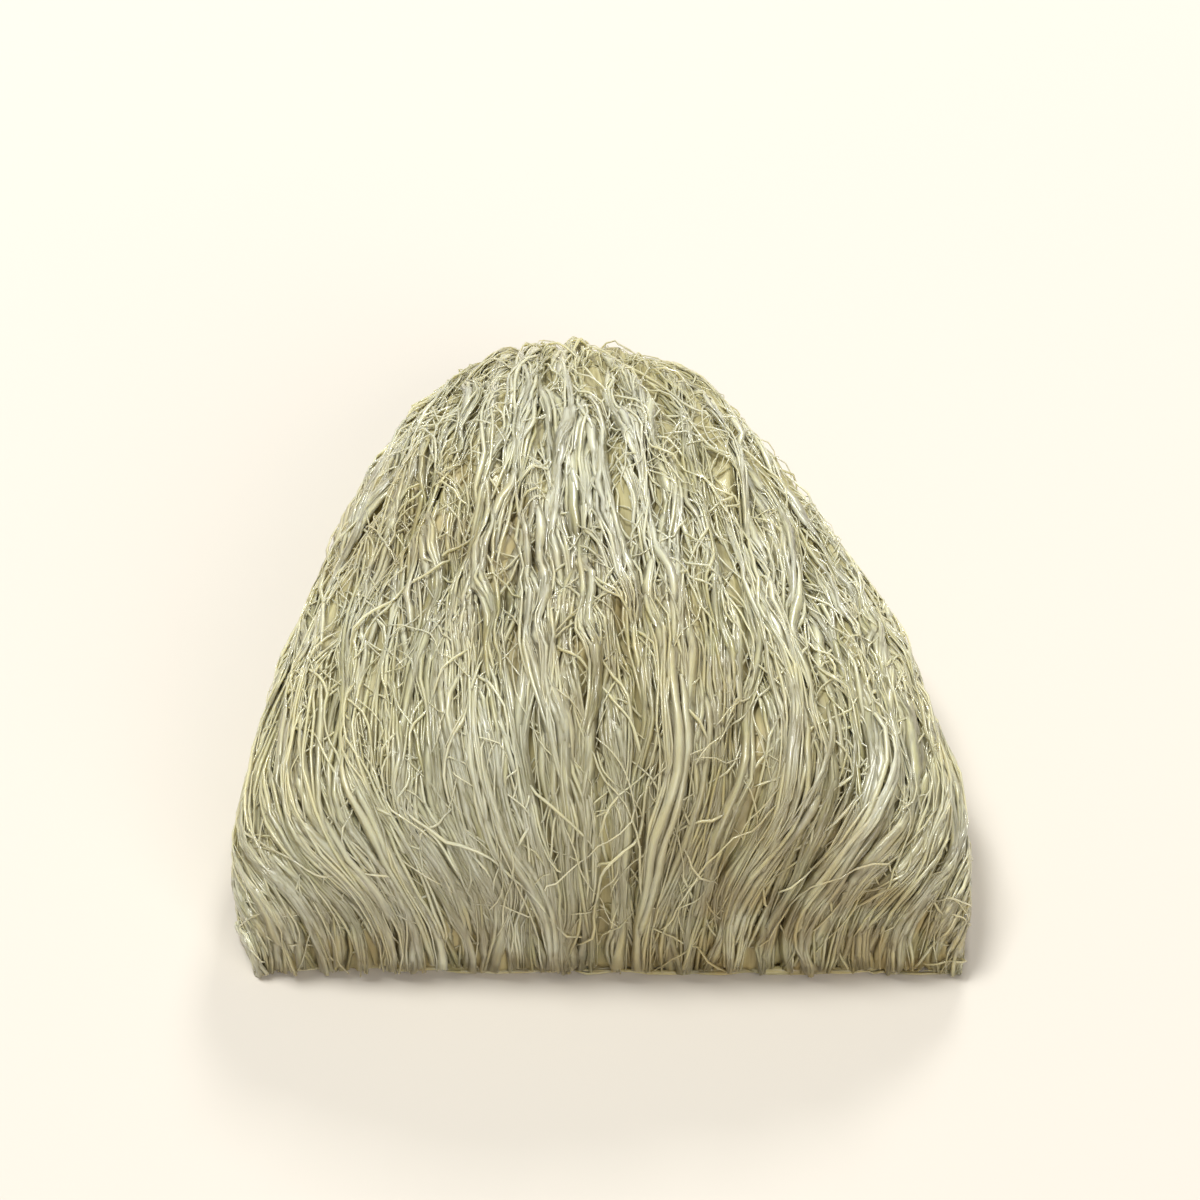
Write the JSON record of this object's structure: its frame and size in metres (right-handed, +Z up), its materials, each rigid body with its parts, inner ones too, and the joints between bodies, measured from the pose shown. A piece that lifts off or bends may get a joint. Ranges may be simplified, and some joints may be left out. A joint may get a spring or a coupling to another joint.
{
  "type": "edible bird's nest",
  "caption": "Dried swiftlet cup nest of fused saliva strands: a fan-shaped, domed shell with a combed back and a hollow underneath, lying on its rim.",
  "frame": {"origin": "centre of the footprint's bounding box, on the surface that the rim lies on", "axes": "+Z up through the crown; +Y along the nest towards its pinched tip, so the blunt outer end faces -Y; +X to the right seen from the outer end"},
  "size_m": [0.06, 0.0786, 0.0233],
  "materials": {
    "dried_saliva": "translucent cream strands, satin to glossy, amber in the folds"
  },
  "bodies": {
    "root": {"nest": "dried_saliva"}
  },
  "joints": []
}
